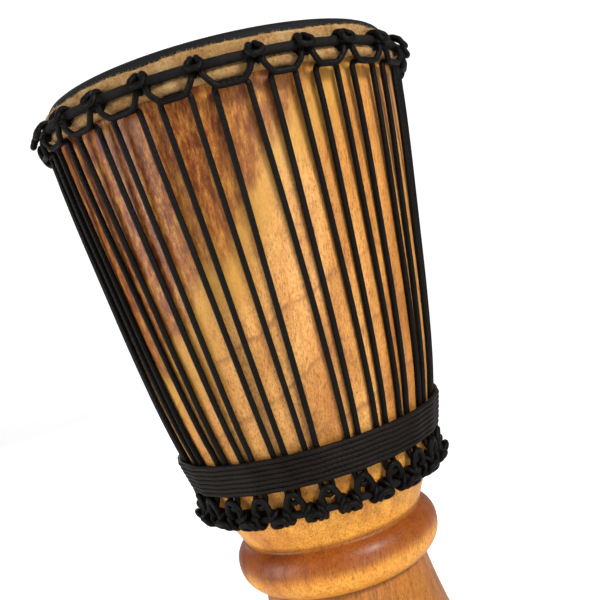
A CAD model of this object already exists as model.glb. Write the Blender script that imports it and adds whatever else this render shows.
import math
import random

import bpy
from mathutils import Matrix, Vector, noise


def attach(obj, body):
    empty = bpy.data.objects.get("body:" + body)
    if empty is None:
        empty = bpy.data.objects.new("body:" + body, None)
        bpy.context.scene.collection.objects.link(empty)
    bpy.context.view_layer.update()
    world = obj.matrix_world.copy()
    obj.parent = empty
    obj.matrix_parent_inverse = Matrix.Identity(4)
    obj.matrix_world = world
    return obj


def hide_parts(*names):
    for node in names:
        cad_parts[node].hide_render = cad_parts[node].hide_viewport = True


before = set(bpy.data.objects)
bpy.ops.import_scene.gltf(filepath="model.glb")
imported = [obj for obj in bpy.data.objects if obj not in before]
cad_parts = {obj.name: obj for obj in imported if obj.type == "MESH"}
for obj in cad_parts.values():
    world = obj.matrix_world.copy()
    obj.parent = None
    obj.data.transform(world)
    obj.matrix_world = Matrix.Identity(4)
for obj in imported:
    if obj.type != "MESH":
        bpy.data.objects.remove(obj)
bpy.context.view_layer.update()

# ---------------------------------------------------------------- camera, light and floor
# The drum stands on a pale paper floor that curves up behind it, in a white studio. A strong
# box of light hangs at the upper right and a wide one stands at the left. A low one in front
# lights the foot, and a weak one the back.

camera_data = bpy.data.cameras.new("camera")
camera_data.sensor_width = 36
camera_data.lens = 51.7
camera = bpy.data.objects.new("camera", camera_data)
camera.location = (0.0601, -0.7804, 0.4763)
camera.rotation_euler = [math.radians(turn) for turn in (86.38, 14.76, 1.88)]
bpy.context.scene.collection.objects.link(camera)
bpy.context.scene.camera = camera
bpy.context.scene.view_settings.view_transform = "Standard"


def softbox(name, place, aim, size, power):
    """A square area light that looks at a point."""
    light = bpy.data.lights.new(name, "AREA")
    light.size = size
    light.energy = power
    lamp = bpy.data.objects.new(name, light)
    lamp.location = place
    lamp.rotation_euler = (Vector(aim) - Vector(place)).to_track_quat("-Z", "Y").to_euler()
    bpy.context.scene.collection.objects.link(lamp)


softbox("key_light", (1.35, -1.5, 1.75), (0, 0, 0.4), 0.5, 48)
softbox("fill_light", (-2.2, -1.0, 0.8), (0, 0, 0.4), 1.6, 42)
softbox("low_light", (0.9, -1.7, 0.05), (0, 0, 0.3), 1.0, 13)
softbox("back_light", (-0.8, 2.0, 1.5), (0, 0, 0.35), 1.5, 16)

sky_light, sky_seen = 0.22, 1.0
world = bpy.data.worlds.new("studio")
world.use_nodes = True
sky = world.node_tree.nodes["Background"]
sky.inputs["Color"].default_value = (1, 1, 1, 1)
seen = world.node_tree.nodes.new("ShaderNodeLightPath")
strength = world.node_tree.nodes.new("ShaderNodeMapRange")
strength.inputs["To Min"].default_value = sky_light
strength.inputs["To Max"].default_value = sky_seen
world.node_tree.links.new(seen.outputs["Is Camera Ray"], strength.inputs["Value"])
world.node_tree.links.new(strength.outputs["Result"], sky.inputs["Strength"])
bpy.context.scene.world = world


def add(tree, kind, sockets=None, **settings):
    """A node in a tree; a socket given as a value is set, and one given as a socket is linked."""
    made = tree.nodes.new(kind)
    for name, value in settings.items():
        setattr(made, name, value)
    for name, value in (sockets or {}).items():
        if isinstance(value, bpy.types.NodeSocket):
            tree.links.new(value, made.inputs[name])
        else:
            made.inputs[name].default_value = value
    return made


def math_node(tree, operation, *values):
    return add(tree, "ShaderNodeMath", dict(enumerate(values)), operation=operation).outputs[0]


def ramp(tree, factor, stops):
    """A color ramp; each stop is a position and a linear color."""
    made = add(tree, "ShaderNodeValToRGB", {"Fac": factor})
    elements = made.color_ramp.elements
    while len(elements) < len(stops):
        elements.new(0.5)
    for element, (position, color) in zip(elements, stops):
        element.position = position
        element.color = (*color, 1) if len(color) == 3 else color
    return made.outputs["Color"]


def grey(level):
    return (level, level, level)


def new_material(name):
    """A material with a Principled shader; gives the material, its tree and the shader."""
    made = bpy.data.materials.new(name)
    made.use_nodes = True
    return made, made.node_tree, made.node_tree.nodes["Principled BSDF"]


def noise_at(tree, vector, scale, detail=4.0, roughness=0.55):
    sockets = {"Vector": vector, "Scale": scale, "Detail": detail, "Roughness": roughness}
    return add(tree, "ShaderNodeTexNoise", sockets)


def mesh_piece(name, points, faces, material):
    """A smooth mesh object made of points in metres."""
    mesh = bpy.data.meshes.new(name)
    mesh.from_pydata(points, [], faces)
    mesh.materials.append(material)
    mesh.shade_smooth()
    made = bpy.data.objects.new(name, mesh)
    bpy.context.scene.collection.objects.link(made)
    return made


floor_material, tree, shader = new_material("studio_paper")
coords = add(tree, "ShaderNodeTexCoord").outputs["Object"]
paper = noise_at(tree, coords, 3.0).outputs["Fac"]
tree.links.new(ramp(tree, paper, [(0, grey(0.86)), (1, grey(0.9))]), shader.inputs["Base Color"])
shader.inputs["Roughness"].default_value = 0.9
seen = add(tree, "ShaderNodeLightPath").outputs["Is Camera Ray"]
shader.inputs["Emission Color"].default_value = (1, 1, 1, 1)
tree.links.new(math_node(tree, "MULTIPLY", seen, 0.62), shader.inputs["Emission Strength"])

floor_half, floor_back, floor_curve, wall_top, curve_steps = 6.0, 2.6, 1.2, 5.0, 12
sweep = [(-floor_half, 0.0), (floor_back, 0.0)]
for step in range(1, curve_steps + 1):
    turn = math.radians(90 * step / curve_steps)
    sweep.append((floor_back + floor_curve * math.sin(turn), floor_curve * (1 - math.cos(turn))))
sweep.append((floor_back + floor_curve, wall_top))
points = [(side * floor_half, y, z) for y, z in sweep for side in (-1, 1)]
faces = [(2 * i, 2 * i + 1, 2 * i + 3, 2 * i + 2) for i in range(len(sweep) - 1)]
backdrop = mesh_piece("backdrop", points, faces, floor_material)

# ---------------------------------------------------------------- shell
# The body: one log, turned and carved to a hollow goblet with a raised ring at its waist,
# then sanded and oiled. The rim is rounded where the skin bears on it.

MM = 0.001
rim_r, rim_round, shell_top = 150.5, 7.0, 638.8
waist_top, waist_ring, waist_foot = (82.0, 228.0), (93.3, 208.0), (75.0, 184.0)


def arc(first, middle, last, count):
    """Points on the circle through three points (radius, height), without the last one."""
    (ax, ay), (bx, by), (cx, cy) = first, middle, last
    d = 2 * (ax * (by - cy) + bx * (cy - ay) + cx * (ay - by))
    a2, b2, c2 = ax * ax + ay * ay, bx * bx + by * by, cx * cx + cy * cy
    ux = (a2 * (by - cy) + b2 * (cy - ay) + c2 * (ay - by)) / d
    uy = (a2 * (cx - bx) + b2 * (ax - cx) + c2 * (bx - ax)) / d
    start = math.atan2(ay - uy, ax - ux)
    via = (math.atan2(by - uy, bx - ux) - start) % math.tau
    end = (math.atan2(cy - uy, cx - ux) - start) % math.tau
    sweep_angle = end if via < end else end - math.tau
    radius = math.hypot(ax - ux, ay - uy)
    turns = [start + sweep_angle * i / count for i in range(count)]
    return [(ux + radius * math.cos(t), uy + radius * math.sin(t)) for t in turns]


def line(first, last, count):
    """Evenly spaced points from first towards last, without the last one."""
    return [
        tuple(a + (b - a) * i / count for a, b in zip(first, last)) for i in range(count)
    ]


def bowl_radius(height):
    """Outside of the bowl, in mm: nearly straight under the rim, rounding in lower down."""
    drop = 600 - height
    if height >= 360:
        return 150.5 - 0.0593 * max(drop, 0) - 0.000241 * max(drop, 0) ** 2
    drop = 360 - height
    return 122.4 - 0.1947 * drop - 0.000617 * drop**2


def bowl_slope(height):
    return (bowl_radius(height + 1) - bowl_radius(height - 1)) / 2


def off_bowl(distance, height):
    """Radius of a point that far from the bowl's face, measured square to it."""
    return bowl_radius(height) + distance * math.sqrt(1 + bowl_slope(height) ** 2)


def turned(name, outline, segments, material, shape=None):
    """A closed outline of (radius, height) turned round the axis; shape may move its points."""
    points, rows = [], []
    for index, (radius, height) in enumerate(outline):
        rows.append(len(points))
        for step in range(1 if radius == 0 else segments):
            angle = math.tau * step / segments
            r, z = shape(index, radius, height, angle) if shape else (radius, height)
            points.append((r * math.cos(angle) * MM, r * math.sin(angle) * MM, z * MM))
    faces = []
    for index, first in enumerate(rows):
        following = (index + 1) % len(rows)
        second = rows[following]
        pole_first, pole_second = outline[index][0] == 0, outline[following][0] == 0
        if pole_first and pole_second:
            continue
        for step in range(segments):
            after = (step + 1) % segments
            corners = [
                first if pole_first else first + step,
                first if pole_first else first + after,
                second if pole_second else second + after,
                second if pole_second else second + step,
            ]
            faces.append(tuple(dict.fromkeys(corners)))
    return mesh_piece(name, points, faces, material)


def mix_colors(tree, factor, first, second, blend="MIX"):
    sockets = {0: factor, 6: first, 7: second}
    made = add(tree, "ShaderNodeMix", sockets, data_type="RGBA", blend_type=blend)
    return made.outputs[2]


def stretched(tree, vector, scale, turn=(0, 0, 0), shift=(0, 0, 0)):
    sockets = {"Vector": vector, "Scale": scale, "Rotation": turn, "Location": shift}
    return add(tree, "ShaderNodeMapping", sockets).outputs[0]


wood, tree, shader = new_material("carved_wood")
coords = add(tree, "ShaderNodeTexCoord").outputs["Object"]
drift = noise_at(tree, stretched(tree, coords, (5, 5, 1.6)), 1.0, 3.0).outputs["Color"]
drift = add(tree, "ShaderNodeVectorMath", {0: drift, 1: (0.5, 0.5, 0.5)}, operation="SUBTRACT")
drift = add(tree, "ShaderNodeVectorMath", {0: drift.outputs[0], "Scale": 0.035}, operation="SCALE")
warped = add(tree, "ShaderNodeVectorMath", {0: coords, 1: drift.outputs[0]}, operation="ADD")
log = stretched(tree, warped.outputs[0], (1, 1, 1), (0.11, -0.07, 0), (0.055, 0.03, 0))
flat_log = add(tree, "ShaderNodeVectorMath", {0: log, 1: (1, 1, 0)}, operation="MULTIPLY")
ring_run = add(tree, "ShaderNodeVectorMath", {0: flat_log.outputs[0]}, operation="LENGTH")
rings = math_node(tree, "FRACT", math_node(tree, "MULTIPLY", ring_run.outputs["Value"], 105.0))
broad = noise_at(tree, stretched(tree, log, (26, 26, 3.0)), 1.0, 4.0, 0.55).outputs["Fac"]
streaks = noise_at(tree, stretched(tree, log, (170, 170, 7)), 1.0, 4.0, 0.6).outputs["Fac"]
fibres = noise_at(tree, stretched(tree, log, (900, 900, 70)), 1.0, 3.0, 0.6).outputs["Fac"]
mottle = noise_at(tree, stretched(tree, log, (60, 60, 28)), 1.0, 5.0, 0.7).outputs["Fac"]
honey = ramp(tree, broad, [
    (0.30, (0.44, 0.170, 0.040)), (0.45, (0.60, 0.265, 0.068)),
    (0.57, (0.74, 0.370, 0.115)), (0.72, (0.54, 0.225, 0.054)),
])
late = ramp(tree, rings, [
    (0.0, grey(1.0)), (0.62, grey(0.98)), (0.9, grey(0.82)), (1.0, grey(0.99)),
])
grain = mix_colors(tree, 0.4, honey, late, "MULTIPLY")
streak_tone = ramp(tree, streaks, [
    (0.3, (0.74, 0.62, 0.5)), (0.5, grey(1.0)), (0.7, (1.05, 1.03, 1.0)),
])
grain = mix_colors(tree, 0.6, grain, streak_tone, "MULTIPLY")
fibre_tone = ramp(tree, fibres, [
    (0.34, (0.36, 0.20, 0.10)), (0.48, grey(1.0)), (0.66, (1.16, 1.14, 1.06)),
])
grain = mix_colors(tree, 0.58, grain, fibre_tone, "MULTIPLY")
speckle = noise_at(tree, stretched(tree, coords, (700, 700, 420)), 1.0, 2.0, 0.6).outputs["Fac"]
speckle_tone = ramp(tree, speckle, [
    (0.36, (0.50, 0.34, 0.22)), (0.48, grey(1.0)), (0.66, (1.14, 1.14, 1.12)),
])
grain = mix_colors(tree, 0.42, grain, speckle_tone, "MULTIPLY")


def along_slope(vector, direction, offset):
    """Distance from a slanting plane through the log, in metres."""
    dot = add(tree, "ShaderNodeVectorMath", {0: vector, 1: direction}, operation="DOT_PRODUCT")
    return math_node(tree, "SUBTRACT", dot.outputs["Value"], offset)


season = along_slope(warped.outputs[0], (-9.0, 4.0, 19.0), 0.0)
season = math_node(tree, "ADD", season, math_node(tree, "MULTIPLY", broad, 0.7))
season_line = ramp(tree, math_node(tree, "FRACT", season), [
    (0.0, grey(0.0)), (0.86, grey(0.0)), (0.95, grey(1.0)), (1.0, grey(0.0)),
])
season_here = ramp(tree, mottle, [(0.38, grey(0.3)), (0.52, grey(0.85))])
season_mark = mix_colors(tree, 1.0, season_line, season_here, "MULTIPLY")
height = add(tree, "ShaderNodeSeparateXYZ", {0: coords}).outputs[2]
low_bowl = ramp(tree, height, [
    (0.29, grey(0.0)), (0.32, grey(0.9)), (0.44, grey(0.8)), (0.53, grey(0.0)),
])
season_mark = mix_colors(tree, 1.0, season_mark, low_bowl, "MULTIPLY")
grain = mix_colors(tree, season_mark, grain, (0.30, 0.105, 0.032, 1))
torn_edge = stretched(tree, log, (34, 34, 12), (0, 0.6, 0))
ragged = noise_at(tree, torn_edge, 1.0, 6.0, 0.72).outputs["Fac"]
heart_side = along_slope(warped.outputs[0], (-1.2, -0.35, 1.0), 0.566)
heart_side = math_node(tree, "ADD", heart_side, math_node(tree, "MULTIPLY", ragged, 0.16))
heart_side = math_node(tree, "MULTIPLY", heart_side, 4.0)
gold = ramp(tree, heart_side, [(0.02, grey(0.0)), (0.22, grey(0.75)), (0.34, grey(0.4))])
grain = mix_colors(tree, gold, grain, (0.60, 0.315, 0.060, 1))
heart = ramp(tree, heart_side, [(0.22, grey(0.0)), (0.33, grey(0.8)), (0.6, grey(1.0))])
slanted = stretched(tree, log, (240, 240, 46), (0, -0.5, 0))
strokes = noise_at(tree, slanted, 1.0, 6.0, 0.85).outputs["Fac"]
heart_strokes = math_node(tree, "MULTIPLY", strokes, 0.72)
heart_mix = math_node(tree, "ADD", heart_strokes, math_node(tree, "MULTIPLY", mottle, 0.28))
heart_color = ramp(tree, heart_mix, [
    (0.38, (0.085, 0.014, 0.004)), (0.46, (0.19, 0.040, 0.008)),
    (0.53, (0.36, 0.120, 0.022)), (0.62, (0.60, 0.290, 0.050)),
])
grain = mix_colors(tree, heart, grain, heart_color)
waist_tone = ramp(tree, height, [
    (0.0, (0.70, 0.55, 0.22)), (0.181, (0.62, 0.46, 0.18)), (0.1845, (0.34, 0.18, 0.07)),
    (0.188, (1.20, 1.08, 0.50)), (0.202, (1.20, 1.06, 0.48)), (0.212, (0.46, 0.25, 0.08)),
    (0.2265, (0.40, 0.20, 0.06)), (0.229, (0.30, 0.14, 0.05)), (0.234, (1.22, 1.10, 0.50)),
    (0.262, (1.24, 1.16, 0.60)), (0.32, (1.04, 1.04, 0.92)), (1.0, (1.0, 1.0, 0.94)),
])
grain = mix_colors(tree, 1.0, grain, waist_tone, "MULTIPLY")
tree.links.new(grain, shader.inputs["Base Color"])
tree.links.new(
    ramp(tree, streaks, [(0.3, grey(0.5)), (0.7, grey(0.36))]), shader.inputs["Roughness"]
)
relief = math_node(tree, "ADD", math_node(tree, "MULTIPLY", fibres, 0.6), streaks)
bump = add(tree, "ShaderNodeBump", {"Height": relief, "Strength": 0.35, "Distance": 0.0004})
tree.links.new(bump.outputs[0], shader.inputs["Normal"])
shader.inputs["Specular IOR Level"].default_value = 0.3
shader.inputs["Coat Weight"].default_value = 0.08
shader.inputs["Coat Roughness"].default_value = 0.3

rim_in, corner = rim_r - 14.5, rim_round * (1 - math.cos(math.radians(45)))
foot_side = arc((107.8, 3.4), (97.0, 60), (87.0, 115), 30)
neck = arc((87.0, 115), (79.8, 150), waist_foot, 22)
ring_low = arc(waist_foot, (87.2, 191.5), waist_ring, 16)
ring_high = arc(waist_ring, (90.8, 219.5), waist_top, 16)
under_bowl = arc(waist_top, (87.4, 240), (94.5, 253), 12)
bowl = [(bowl_radius(z), z) for z in range(254, 600, 5)]
rim = line((rim_r, 600), (rim_r, shell_top - rim_round), 6) + arc(
    (rim_r, shell_top - rim_round), (rim_r - corner, shell_top - corner),
    (rim_r - rim_round, shell_top), 6,
)
inside = line((rim_r - rim_round, shell_top), (141, shell_top), 2)
inside += line((141, shell_top), (rim_in, shell_top - 9), 4)
inside += arc((rim_in, shell_top - 9), (129, 500), (108, 370), 36)
inside += arc((108, 370), (85, 290), (52, 232), 24) + line((52, 232), (52, 188), 6)
inside += arc((52, 188), (64, 95), (91, 0), 26)
foot_rim = [(91, 0), (95, 0), (100, 0), (104.6, 0.0), (106.4, 0.7), (107.4, 1.9)]
shell_outline = foot_rim + foot_side + neck + ring_low + ring_high + under_bowl
shell_outline += bowl + rim + inside[:-1]


def by_hand(index, radius, height, angle):
    """The small unevenness that a hand-carved wall keeps, calm near the rim and the foot."""
    place = (math.cos(angle) * 1.3, math.sin(angle) * 1.3, height * 0.012)
    calm = min(1.0, height / 30, max(0.0, (600 - height) / 60))
    return radius + 0.5 * calm * noise.noise(place), height


shell_segments = 256
shell = turned("shell_wood", shell_outline, shell_segments, wood, by_hand)
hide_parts("shell")
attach(shell, "root")

# ---------------------------------------------------------------- goatskin
# The head: a soaked goatskin, blackened and shaved on top, pulled over the rim, folded round
# the flesh ring and dried there. Its edge comes up again as a trimmed, fuzzy, tan collar.

hide, tree, shader = new_material("goatskin")
coords = add(tree, "ShaderNodeTexCoord").outputs["Object"]
run = add(tree, "ShaderNodeAttribute", attribute_name="skin_run").outputs["Fac"]
patchy = noise_at(tree, stretched(tree, coords, (70, 70, 70)), 1.0, 5.0, 0.65).outputs["Fac"]
pores = noise_at(tree, stretched(tree, coords, (900, 900, 900)), 1.0, 3.0, 0.7).outputs["Fac"]
specks = noise_at(tree, stretched(tree, coords, (420, 420, 420)), 1.0, 4.0, 0.8).outputs["Fac"]
tan = ramp(tree, patchy, [
    (0.3, (0.26, 0.125, 0.035)), (0.5, (0.42, 0.235, 0.080)), (0.68, (0.52, 0.330, 0.150)),
])
speck_tone = ramp(tree, specks, [
    (0.34, (0.42, 0.32, 0.24)), (0.48, grey(1.0)), (0.66, (1.15, 1.18, 1.22)),
])
tan = mix_colors(tree, 0.8, tan, speck_tone, "MULTIPLY")
black = ramp(tree, patchy, [(0.35, grey(0.003)), (0.7, (0.007, 0.0065, 0.006))])
edge = math_node(tree, "ADD", run, math_node(tree, "MULTIPLY", patchy, 0.004))
is_tan = ramp(tree, math_node(tree, "MULTIPLY", edge, 5.0), [(0.845, grey(0)), (0.865, grey(1))])
tree.links.new(mix_colors(tree, is_tan, black, tan), shader.inputs["Base Color"])
tree.links.new(
    ramp(tree, is_tan, [(0, grey(0.75)), (1, grey(0.85))]), shader.inputs["Roughness"]
)
skin_relief = math_node(tree, "ADD", specks, math_node(tree, "MULTIPLY", pores, 0.5))
bump = add(tree, "ShaderNodeBump", {"Height": skin_relief, "Strength": 0.5, "Distance": 0.0005})
tree.links.new(bump.outputs[0], shader.inputs["Normal"])
shader.inputs["Specular IOR Level"].default_value = 0.25

skin_half, skin_top, skin_segments = 0.6, 639.4, 480
fold_z, fold_r, fold_tube, fold_steps = 610.0, 154.55, 3.45, 23
skin_side_r, side_top = 151.1, 631.8
knots = 24
pitch = 360 / knots
skin_path = line((0, skin_top), (143.5, skin_top), 26)
skin_path += arc((143.5, skin_top), (148.87, 637.17), (skin_side_r, side_top), 8)
fold_first = len(skin_path) + 6
skin_path += line((skin_side_r, side_top), (skin_side_r, fold_z), 6)
fold_turns = [math.radians(180 + 290 * i / (fold_steps - 1)) for i in range(fold_steps)]
skin_path += [
    (fold_r + fold_tube * math.cos(t), fold_z + fold_tube * math.sin(t)) for t in fold_turns
]
skin_path += line((152.9, 614.6), (152.8, 631.0), 10) + [(152.8, 631.0)]
skin_runs = [0.0]
for (r0, z0), (r1, z1) in zip(skin_path, skin_path[1:]):
    skin_runs.append(skin_runs[-1] + math.hypot(r1 - r0, z1 - z0))
collar_first = fold_first + fold_steps


def skin_side(side):
    """The path moved half the skin's thickness to one side."""
    moved = []
    for i, (r, z) in enumerate(skin_path):
        before, after = skin_path[max(i - 1, 0)], skin_path[min(i + 1, len(skin_path) - 1)]
        dr, dz = after[0] - before[0], after[1] - before[1]
        size = math.hypot(dr, dz)
        moved.append((max(r - side * skin_half * dz / size, 0), z + side * skin_half * dr / size))
    return moved


skin_outline = skin_side(1)[::-1] + skin_side(-1)
skin_order = list(range(len(skin_path)))[::-1] + list(range(len(skin_path)))


def dried_skin(index, radius, height, angle):
    """Pillows of skin between the knots, and a wavy collar with a torn edge."""
    at_path = skin_order[index]
    across = 0.5 - 0.5 * math.cos(angle * knots)
    around = (math.cos(angle) * 9, math.sin(angle) * 9, 0.3)
    if fold_first < at_path < collar_first:
        part = math.sin(math.pi * (at_path - fold_first) / (collar_first - fold_first))
        swell = part * (across * 1.0 - 0.9 + 0.35 * noise.noise(around))
        radius += swell * 1.1
        height += (height - fold_z) * (0.22 * across - 0.05) * part
    if at_path >= collar_first:
        up = (at_path - collar_first) / (len(skin_path) - 1 - collar_first)
        wave = noise.noise((around[0] * 0.6, around[1] * 0.6, 4.0))
        torn = noise.noise((around[0] * 5, around[1] * 5, 7.0))
        radius += up * (0.9 + 0.9 * wave)
        height += up * up * (1.5 * wave + 0.8 * torn)
    return radius, height


goatskin = turned("goatskin_head", skin_outline, skin_segments, hide, dried_skin)
run_attribute = goatskin.data.attributes.new("skin_run", "FLOAT", "POINT")
run_values = []
for index, (radius, _) in enumerate(skin_outline):
    run_values += [skin_runs[skin_order[index]] * MM] * (1 if radius == 0 else skin_segments)
run_attribute.data.foreach_set("value", run_values)
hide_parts("drum_head")
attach(goatskin, "root")

# ---------------------------------------------------------------- goat hair
# Stubble that the shaving left on the collar and on the fold below the crown ring. Each hair
# is a thin cone that stands off the skin and leans up and sideways.

stubble_material, tree, shader = new_material("goat_hair")
coords = add(tree, "ShaderNodeTexCoord").outputs["Object"]
coat = noise_at(tree, stretched(tree, coords, (260, 260, 260)), 1.0, 3.0, 0.7).outputs["Fac"]
tree.links.new(
    ramp(tree, coat, [
        (0.38, (0.10, 0.055, 0.025)), (0.5, (0.45, 0.29, 0.13)), (0.66, (0.74, 0.60, 0.40)),
    ]),
    shader.inputs["Base Color"],
)
shader.inputs["Roughness"].default_value = 0.7
shader.inputs["Specular IOR Level"].default_value = 0.2


def new_group(name, kind, inputs, outputs):
    """A node group with named sockets; gives the tree, its input node and its output node."""
    group = bpy.data.node_groups.new(name, kind)
    for direction, sockets in (("INPUT", inputs), ("OUTPUT", outputs)):
        for label, socket_type in sockets:
            group.interface.new_socket(label, in_out=direction, socket_type=socket_type)
    return group, group.nodes.new("NodeGroupInput"), group.nodes.new("NodeGroupOutput")


def vector_math(tree, operation, first, second):
    made = add(tree, "ShaderNodeVectorMath", {0: first, 1: second}, operation=operation)
    return made.outputs["Value" if operation == "DOT_PRODUCT" else "Vector"]


def kept_mesh(name, guide, group, values):
    """Runs a nodes group on an object and keeps the result as a plain mesh object."""
    modifier = guide.modifiers.new(group.name, "NODES")
    modifier.node_group = group
    for item in group.interface.items_tree:
        if item.in_out == "INPUT" and item.name in values:
            modifier[item.identifier] = values[item.name]
    graph = bpy.context.evaluated_depsgraph_get()
    mesh = bpy.data.meshes.new_from_object(guide.evaluated_get(graph), depsgraph=graph)
    guide.modifiers.remove(modifier)
    mesh.name = name
    mesh.shade_smooth()
    made = bpy.data.objects.new(name, mesh)
    bpy.context.scene.collection.objects.link(made)
    return made


stubble, into, out = new_group(
    "stubble", "GeometryNodeTree",
    [
        ("Geometry", "NodeSocketGeometry"), ("from run", "NodeSocketFloat"),
        ("hairs per area", "NodeSocketFloat"), ("hair length", "NodeSocketFloat"),
        ("hair radius", "NodeSocketFloat"), ("seed", "NodeSocketInt"),
        ("material", "NodeSocketMaterial"),
    ],
    [("Geometry", "NodeSocketGeometry")],
)
run_here = stubble.nodes.new("GeometryNodeInputNamedAttribute")
run_here.data_type = "FLOAT"
run_here.inputs["Name"].default_value = "skin_run"
past = math_node(stubble, "GREATER_THAN", run_here.outputs["Attribute"], into.outputs["from run"])
place = add(stubble, "GeometryNodeInputPosition").outputs[0]
facing = add(stubble, "GeometryNodeInputNormal").outputs[0]
outward = vector_math(stubble, "MULTIPLY", place, (1, 1, 0.1))
outward_share = vector_math(stubble, "DOT_PRODUCT", facing, outward)
outside = math_node(stubble, "GREATER_THAN", outward_share, 0.02)
hairy = math_node(stubble, "MULTIPLY", past, outside)
density = math_node(stubble, "MULTIPLY", hairy, into.outputs["hairs per area"])
roots = add(stubble, "GeometryNodeDistributePointsOnFaces", {
    "Mesh": into.outputs["Geometry"], "Density": density, "Seed": into.outputs["seed"],
})
stray = add(stubble, "FunctionNodeRandomValue", {
    0: (-1, -1, -1), 1: (1, 1, 1), "Seed": into.outputs["seed"],
}, data_type="FLOAT_VECTOR").outputs[0]
stray = vector_math(stubble, "MULTIPLY", stray, (0.7, 0.7, 0.5))
lean = vector_math(stubble, "ADD", stray, (0, 0, 0.45))
lean = vector_math(stubble, "ADD", roots.outputs["Normal"], lean)
turned_to = add(stubble, "FunctionNodeAlignRotationToVector", {"Vector": lean}, axis="Z")
hair = add(stubble, "GeometryNodeMeshCone", {
    "Vertices": 3, "Radius Top": 0.0, "Radius Bottom": into.outputs["hair radius"],
    "Depth": into.outputs["hair length"],
})
length = add(
    stubble, "FunctionNodeRandomValue", {"Min": 0.5, "Max": 1.3, "Seed": 3}, data_type="FLOAT"
)
hairs = add(stubble, "GeometryNodeInstanceOnPoints", {
    "Points": roots.outputs["Points"], "Instance": hair.outputs["Mesh"],
    "Rotation": turned_to.outputs[0], "Scale": length.outputs["Value"],
})
realized = add(stubble, "GeometryNodeRealizeInstances", {"Geometry": hairs.outputs[0]})
covered = add(stubble, "GeometryNodeSetMaterial", {
    "Geometry": realized.outputs[0], "Material": into.outputs["material"],
})
stubble.links.new(covered.outputs[0], out.inputs["Geometry"])
fuzz = kept_mesh("goat_stubble", goatskin, stubble, {
    "from run": skin_runs[fold_first + 8] * MM, "hairs per area": 1.1e6, "hair length": 0.0019,
    "hair radius": 0.00011, "seed": 4, "material": stubble_material,
})
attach(fuzz, "root")

# ---------------------------------------------------------------- rings
# Three welded steel rings. One is hidden in the fold of the skin; the top and bottom ones are
# wound with a strip of black cloth, each turn lapping the one before, and carry the knots.

steel, tree, shader = new_material("ring_steel")
shader.inputs["Base Color"].default_value = (0.32, 0.32, 0.33, 1)
shader.inputs["Metallic"].default_value = 1.0
shader.inputs["Roughness"].default_value = 0.45
for node in ("flesh_ring", "crown_ring", "base_ring"):
    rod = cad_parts[node]
    rod.data.materials.clear()
    rod.data.materials.append(steel)

cloth, tree, shader = new_material("ring_cloth")
coords = add(tree, "ShaderNodeTexCoord").outputs["Object"]
threads = noise_at(tree, stretched(tree, coords, (900, 900, 900)), 1.0, 3.0, 0.7).outputs["Fac"]
dust = noise_at(tree, stretched(tree, coords, (90, 90, 90)), 1.0, 4.0, 0.7).outputs["Fac"]
tree.links.new(
    ramp(tree, dust, [(0.35, (0.004, 0.0036, 0.0033)), (0.75, (0.012, 0.0105, 0.009))]),
    shader.inputs["Base Color"],
)
bump = add(tree, "ShaderNodeBump", {"Height": threads, "Strength": 0.7, "Distance": 0.0004})
tree.links.new(bump.outputs[0], shader.inputs["Normal"])
shader.inputs["Roughness"].default_value = 0.82
shader.inputs["Specular IOR Level"].default_value = 0.2


def wound_ring(name, ring_r, ring_z, cover_r, turns):
    """A ring of cloth strip: the tube swells towards the lapping edge of every turn."""
    around, sides = 960, 16
    points = []
    for i in range(around):
        azimuth = math.tau * i / around
        for j in range(sides):
            turn = math.tau * j / sides
            lap = (turns * azimuth / math.tau + turn / math.tau) % 1.0
            crease = noise.noise((math.cos(azimuth) * 30, math.sin(azimuth) * 30, turn))
            tube = cover_r - 0.32 + 0.3 * lap**0.5 + 0.22 * crease
            radius = ring_r + tube * math.cos(turn)
            points.append((
                radius * math.cos(azimuth) * MM, radius * math.sin(azimuth) * MM,
                (ring_z + tube * math.sin(turn)) * MM,
            ))
    faces = []
    for i in range(around):
        for j in range(sides):
            following, upper = (i + 1) % around * sides, (j + 1) % sides
            faces.append((i * sides + j, following + j, following + upper, i * sides + upper))
    return mesh_piece(name, points, faces, cloth)


crown_r, crown_z, crown_cover = 159.0, 618.0, 3.8
base_r, base_z, base_cover = 105.8, 268.5, 3.5
for name, node, ring in (
    ("crown_cloth", "crown_ring_cover", (crown_r, crown_z, crown_cover, 82)),
    ("base_cloth", "base_ring_cover", (base_r, base_z, base_cover, 58)),
):
    wound = wound_ring(name, *ring)
    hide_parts(node)
    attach(wound, "root")

# ---------------------------------------------------------------- rope
# One kind of rope ties the whole drum: a round plaited polyester line, drawn very tight.
# Its surface carries the plait, worked out from the angle round the rope and the length along.

rope_r = 2.4
plait, into, out = new_group(
    "plait", "ShaderNodeTree",
    [("strands", "NodeSocketFloat"), ("pitch", "NodeSocketFloat")],
    [("height", "NodeSocketFloat"), ("fibre", "NodeSocketFloat")],
)
lay = add(plait, "ShaderNodeAttribute", attribute_name="lay").outputs["Vector"]
parts = add(plait, "ShaderNodeSeparateXYZ", {0: lay}).outputs
turn = math_node(plait, "ARCTAN2", parts[1], parts[0])
around_part = math_node(plait, "MULTIPLY", turn, into.outputs["strands"])
per_pitch = math_node(plait, "DIVIDE", 6.2832, into.outputs["pitch"])
along = math_node(plait, "MULTIPLY", parts[2], per_pitch)
one_way = math_node(plait, "SINE", math_node(plait, "ADD", around_part, along))
other_way = math_node(plait, "SINE", math_node(plait, "SUBTRACT", around_part, along))
plait.links.new(math_node(plait, "MAXIMUM", one_way, other_way), out.inputs["height"])
fine = add(plait, "ShaderNodeCombineXYZ", {0: turn, 1: math_node(plait, "MULTIPLY", parts[2], 900)})
plait.links.new(noise_at(plait, fine.outputs[0], 3.0, 3.0, 0.7).outputs["Fac"], out.inputs["fibre"])


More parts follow.
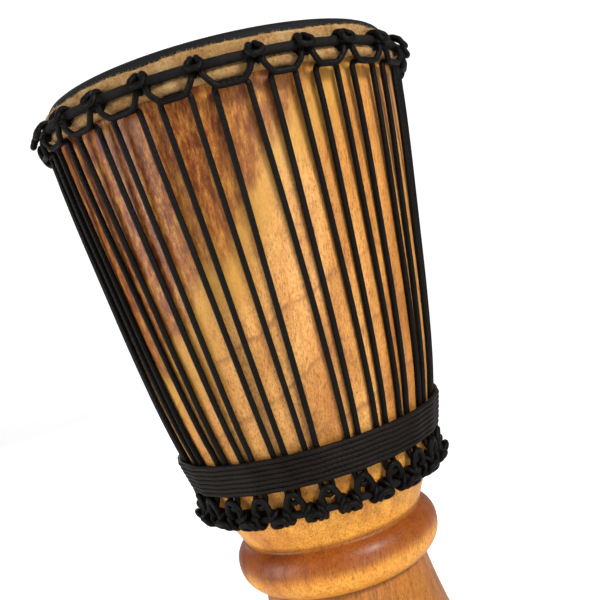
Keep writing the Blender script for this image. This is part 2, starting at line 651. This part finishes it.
def rope_material(name, dark, light, dusty):
    """Black plaited rope; dusty is how much pale wear sits on its high spots."""
    made, tree, shader = new_material(name)
    braid = tree.nodes.new("ShaderNodeGroup")
    braid.node_tree = plait
    braid.inputs["strands"].default_value = 4.0
    braid.inputs["pitch"].default_value = 0.0044
    coords = add(tree, "ShaderNodeTexCoord").outputs["Object"]
    patches = noise_at(tree, stretched(tree, coords, (45, 45, 45)), 1.0, 4.0, 0.7).outputs["Fac"]
    body = ramp(tree, patches, [(0.35, dark), (0.72, light)])
    high = ramp(tree, braid.outputs["height"], [(0.35, grey(0.0)), (0.95, grey(dusty))])
    tree.links.new(mix_colors(tree, high, body, (*light, 1)), shader.inputs["Base Color"])
    bump = add(tree, "ShaderNodeBump", {
        "Height": braid.outputs["height"], "Strength": 0.5, "Distance": 0.0002,
    })
    hair = add(tree, "ShaderNodeBump", {
        "Height": braid.outputs["fibre"], "Strength": 0.5, "Distance": 0.0001,
        "Normal": bump.outputs[0],
    })
    tree.links.new(hair.outputs[0], shader.inputs["Normal"])
    shader.inputs["Roughness"].default_value = 0.5
    shader.inputs["Specular IOR Level"].default_value = 0.1
    return made


black_rope = rope_material("black_rope", (0.0018, 0.0016, 0.0015), (0.0055, 0.0048, 0.0042), 0.6)
worn_rope = rope_material("worn_rope", (0.0018, 0.0015, 0.0013), (0.012, 0.0082, 0.006), 0.8)

laid, into, out = new_group(
    "laid_rope", "GeometryNodeTree",
    [
        ("Geometry", "NodeSocketGeometry"), ("rope radius", "NodeSocketFloat"),
        ("segment", "NodeSocketFloat"), ("sides", "NodeSocketInt"),
        ("material", "NodeSocketMaterial"),
    ],
    [("Geometry", "NodeSocketGeometry")],
)
even = add(laid, "GeometryNodeResampleCurve", {
    "Curve": into.outputs["Geometry"], "Length": into.outputs["segment"],
}, mode="LENGTH")
run_length = add(laid, "GeometryNodeSplineParameter").outputs["Length"]
rail = laid.nodes.new("GeometryNodeCaptureAttribute")
rail.capture_items.new("FLOAT", "run")
laid.links.new(even.outputs[0], rail.inputs["Geometry"])
laid.links.new(run_length, rail.inputs["run"])
ring_shape = add(laid, "GeometryNodeCurvePrimitiveCircle", {
    "Resolution": into.outputs["sides"], "Radius": into.outputs["rope radius"],
}, mode="RADIUS")
share = add(laid, "GeometryNodeSplineParameter").outputs["Factor"]
angle = math_node(laid, "MULTIPLY", share, math.tau)
profile = laid.nodes.new("GeometryNodeCaptureAttribute")
profile.capture_items.new("FLOAT", "cos")
profile.capture_items.new("FLOAT", "sin")
laid.links.new(ring_shape.outputs["Curve"], profile.inputs["Geometry"])
laid.links.new(math_node(laid, "COSINE", angle), profile.inputs["cos"])
laid.links.new(math_node(laid, "SINE", angle), profile.inputs["sin"])
tube = add(laid, "GeometryNodeCurveToMesh", {
    "Curve": rail.outputs["Geometry"], "Profile Curve": profile.outputs["Geometry"],
    "Fill Caps": True,
})
lay_value = add(laid, "ShaderNodeCombineXYZ", {
    0: profile.outputs["cos"], 1: profile.outputs["sin"], 2: rail.outputs["run"],
})
named = add(laid, "GeometryNodeStoreNamedAttribute", {
    "Geometry": tube.outputs[0], "Name": "lay",
}, data_type="FLOAT_VECTOR", domain="POINT")
laid.links.new(lay_value.outputs[0], named.inputs["Value"])
realized = add(laid, "GeometryNodeRealizeInstances", {"Geometry": named.outputs[0]})
covered = add(laid, "GeometryNodeSetMaterial", {
    "Geometry": realized.outputs[0], "Material": into.outputs["material"],
})
laid.links.new(covered.outputs[0], out.inputs["Geometry"])


def smooth_route(corners, closed):
    """Close points on a smooth curve through the corners, which are (radius, degrees, height)."""
    places = [
        Vector((r * math.cos(math.radians(a)), r * math.sin(math.radians(a)), z))
        for r, a, z in corners
    ]
    count = len(places)
    if closed:
        places = [places[-1]] + places + places[:2]
    else:
        places = [2 * places[0] - places[1]] + places + [2 * places[-1] - places[-2]]
    route = []
    for i in range(count if closed else count - 1):
        p0, p1, p2, p3 = places[i : i + 4]
        t1 = (p1 - p0).length ** 0.5
        t2 = t1 + (p2 - p1).length ** 0.5
        t3 = t2 + (p3 - p2).length ** 0.5
        steps = max(2, int((p2 - p1).length / 0.8))
        for step in range(steps):
            t = t1 + (t2 - t1) * step / steps
            a1 = p0 * ((t1 - t) / t1) + p1 * (t / t1)
            a2 = p1 * ((t2 - t) / (t2 - t1)) + p2 * ((t - t1) / (t2 - t1))
            a3 = p2 * ((t3 - t) / (t3 - t2)) + p3 * ((t - t2) / (t3 - t2))
            b1 = a1 * ((t2 - t) / t2) + a2 * (t / t2)
            b2 = a2 * ((t3 - t) / (t3 - t1)) + a3 * ((t - t1) / (t3 - t1))
            route.append(b1 * ((t2 - t) / (t2 - t1)) + b2 * ((t - t1) / (t2 - t1)))
    if not closed:
        route.append(places[-2])
    return route


def rope_piece(name, corners, closed, material, segment, sides=12, radius=rope_r):
    """A rope along a route, made by the laid_rope nodes and kept as a mesh."""
    route = smooth_route(corners, closed)
    curve = bpy.data.curves.new(name + "_line", "CURVE")
    curve.dimensions = "3D"
    spline = curve.splines.new("POLY")
    spline.points.add(len(route) - 1)
    for point, place in zip(spline.points, route):
        point.co = (*(place * MM), 1)
    spline.use_cyclic_u = closed
    guide = bpy.data.objects.new(name + "_line", curve)
    bpy.context.scene.collection.objects.link(guide)
    made = kept_mesh(name, guide, laid, {
        "rope radius": radius * MM, "segment": segment * MM, "sides": sides,
        "material": material,
    })
    bpy.data.objects.remove(guide)
    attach(made, "root")
    return made


# Half a hitch in mm: how far beside its middle, degrees round the ring's tube from its outer
# side, and distance from the tube's middle. It starts at the strand and ends at the bar.
HALF_HITCH = [
    (-3.6, -50, 6.9), (-2.8, -90, 6.0), (-2.4, -135, 5.2), (-2.3, -180, 4.9), (-2.3, -225, 5.5),
    (-2.4, -270, 6.1), (-2.5, -300, 6.3), (-3.2, -328, 6.8), (-5.1, -346, 7.9),
    (-4.9, -368, 9.4), (-2.6, -375, 10.7),
]
DOUBLE_HITCH = [
    (-8.4, -48, 6.9), (-7.8, -90, 6.2), (-7.5, -135, 5.4), (-7.4, -180, 4.9), (-7.4, -225, 5.6),
    (-7.3, -270, 6.2), (-7.1, -315, 6.2), (-6.5, -360, 6.3), (-4.9, -410, 6.2), (-3.5, -450, 6.0),
    (-2.7, -495, 5.2), (-2.5, -540, 4.9), (-2.5, -585, 5.5), (-2.5, -630, 6.2), (-2.8, -662, 6.6),
    (-4.2, -688, 8.0), (-5.4, -706, 9.9), (-4.6, -719, 11.2), (-2.4, -724, 11.7),
]


def hitch(half_hitch, ring_r, ring_z, shrink, azimuth, up, luck):
    """A cow hitch on a ring, from its left strand to its right one; up is 1 for strands down."""
    tilt = luck.uniform(-0.12, 0.12)
    fat = luck.uniform(0.97, 1.04)
    half = []
    for side, turn, distance in half_hitch:
        turn = math.radians(turn)
        reach = (distance - shrink) * fat
        half.append((
            side * fat, ring_r + reach * math.cos(turn), ring_z + up * reach * math.sin(turn),
        ))
    right = [(-side, r, z) for side, r, z in half[::-1]]
    knot = half + [(0.0, half[-1][1] + 0.1, half[-1][2] - 0.1 * up)] + right
    return [
        (r, azimuth + math.degrees(side / r), z + tilt * side) for side, r, z in knot
    ]


# ---------------------------------------------------------------- top loops
# A rope hitched 24 times to the crown ring. Between two knots it hangs in a short loop, and
# the lacing pulls down on every loop.

luck = random.Random(7)
knot_shift = {19: 0.3, 20: -1.0, 21: -2.6, 22: -2.0, 23: -1.0}
knot_at = [knot * pitch + knot_shift.get(knot, 0.0) for knot in range(knots)]
knot_at.append(knot_at[0] + 360)
corners = []
for knot in range(knots):
    left, right = knot_at[knot], knot_at[knot + 1]
    drop = luck.uniform(-0.6, 0.6)
    corners += [(164.6, left - 1.9, 608.0)]
    corners += hitch(HALF_HITCH, crown_r, crown_z, 0.0, left, 1, luck)
    corners += [
        (164.6, left + 1.9, 608.0), (163.2, left + 3.1, 603.6),
        (162.3, left + 4.1, 601.3 + drop / 2), (162.1, left + 5.2, 600.8 + drop),
        (161.9, (left + right) / 2, 600.7 + drop), (162.1, right - 5.2, 600.8 + drop),
        (162.3, right - 4.1, 601.3 + drop / 2), (163.2, right - 3.1, 603.6),
    ]
top_rope = rope_piece("top_loops", corners, True, black_rope, 1.2)
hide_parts("top_loop_rope")

# ---------------------------------------------------------------- base loops
# A thicker length of the same rope, tied 24 times round the base ring with double hitches,
# the other way up. Its loops slant up to the lacing's bends, half a pitch beside its knots.

luck = random.Random(19)
slant = 5.5
corners = []
for knot in range(knots):
    azimuth = knot * pitch + slant - pitch / 2
    rise = luck.uniform(-0.5, 0.5)
    corners += [(111.6, azimuth - 3.9, 276.6)]
    corners += hitch(DOUBLE_HITCH, base_r, base_z, 0.3, azimuth, -1, luck)
    corners += [
        (111.6, azimuth + 3.9, 276.6), (112.2, azimuth + 4.5, 281.0),
        (113.0, azimuth + 5.7, 285.4 + rise / 2), (113.6, azimuth + pitch / 2, 287.3 + rise),
        (113.0, azimuth + pitch - 5.7, 285.4 + rise / 2), (112.2, azimuth + pitch - 4.5, 281.0),
    ]
base_rope_r = 2.75
base_rope = rope_piece("base_loops", corners, True, black_rope, 1.4, radius=base_rope_r)
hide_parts("base_loop_rope")

# ---------------------------------------------------------------- lacing
# One long rope goes up beside a knot, over a top loop and down again, then under a base loop.
# It is hauled so tight that it runs straight until the bowl's swell takes it up.

luck = random.Random(31)
wrap_drift = {
    13: 7.0, 14: 8.0, 15: 8.6, 16: 6.4, 17: 5.4, 18: 3.2, 19: 5.4, 20: 3.6, 21: 1.4, 22: 1.0,
    23: 2.2, 0: 3.6, 1: 4.8,
}
hanging = [(157.0, 598.8), (156.2, 592.0), (153.9, 569.0), (150.5, 540.0), (145.4, 501.0)]
lying_heights = (461.0, 430.0, 400.0, 370.0, 345.0, 321.0, 299.0)
lying = [(off_bowl(rope_r + 0.1, z), z) for z in lying_heights]
upright = hanging + lying + [(108.3, 289.5), (109.2, 284.6)]
wrap_top, wrap_bottom, lacing_top = 318.0, 292.0, 600.0


def strand(knot, side, drift, drift_up):
    """One upright from top to bottom; side is 1 for the rope to the right of the knot."""
    run = []
    top, bottom = knot_at[knot], knot * pitch + slant
    above_wrap = knot * pitch + wrap_drift.get(knot, slant)
    for radius, height in upright:
        up = min(max((height - wrap_top) / (lacing_top - wrap_top), 0.0), 1.0)
        spread = 2.3 + 0.8 * min(up * 1.15, 1.0)
        stray = drift * math.sin(math.pi * up) + drift_up * up
        middle = above_wrap + (top - above_wrap) * up
        if height < wrap_top:
            part = max((height - wrap_bottom) / (wrap_top - wrap_bottom), 0.0)
            middle = bottom + (above_wrap - bottom) * part
        run.append((radius, middle + side * spread + stray, height))
    return run


corners = []
for knot in range(knots):
    drifts = [luck.uniform(-0.25, 0.25) for _ in range(4)]
    middle = knot * pitch + slant
    left, right = knot_at[knot], knot_at[knot + 1]
    corners += strand(knot, -1, *drifts[:2])
    corners += [
        (110.2, middle - 1.3, 280.6), (110.6, middle, 279.6), (110.2, middle + 1.3, 280.6),
    ]
    corners += strand(knot, 1, *drifts[2:])[::-1]
    lift = luck.uniform(-0.2, 0.2)
    corners += [
        (157.2, left + 3.5, 601.2), (157.5, left + 4.9, 602.4 + lift),
        (157.6, (left + right) / 2, 602.6 + lift),
        (157.5, right - 4.9, 602.4 + lift), (157.2, right - 3.5, 601.2),
    ]
lacing = rope_piece("lacing", corners, True, black_rope, 2.4, sides=10)
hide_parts("lacing_rope")

# ---------------------------------------------------------------- binding
# Seven turns of the same rope, wound tightly over the lacing low on the bowl and dusty from
# handling. Its ends are tucked in behind the turns.

turns, turn_steps, first_azimuth, first_z, climb = 7, 96, 78.0, 291.8, 4.3
corners = [(off_bowl(4.0, 296.0), 62.0, 296.0), (off_bowl(5.6, 293.0), 70.0, 293.0)]
for step in range(turns * turn_steps + 1):
    azimuth = first_azimuth + 360 * step / turn_steps
    height = first_z + climb * 0.97 * step / turn_steps
    over_pair = 0.5 + 0.5 * math.cos(math.radians((azimuth - slant) * knots))
    turn = math.radians(azimuth)
    wave = noise.noise((math.cos(turn) * 6, math.sin(turn) * 6, height * 0.3))
    radius = off_bowl(6.3 + 0.9 * over_pair, height) + 0.35 * wave
    corners.append((radius, azimuth, height + 0.3 * wave))
last = corners[-1]
corners += [
    (last[0] - 1.6, last[1] + 6, last[2] - 0.8), (last[0] - 3.2, last[1] + 12, last[2] - 3),
]
binding_r = 2.25
binding = rope_piece("binding", corners, False, worn_rope, 2.0, sides=14, radius=binding_r)
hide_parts("binding_rope")
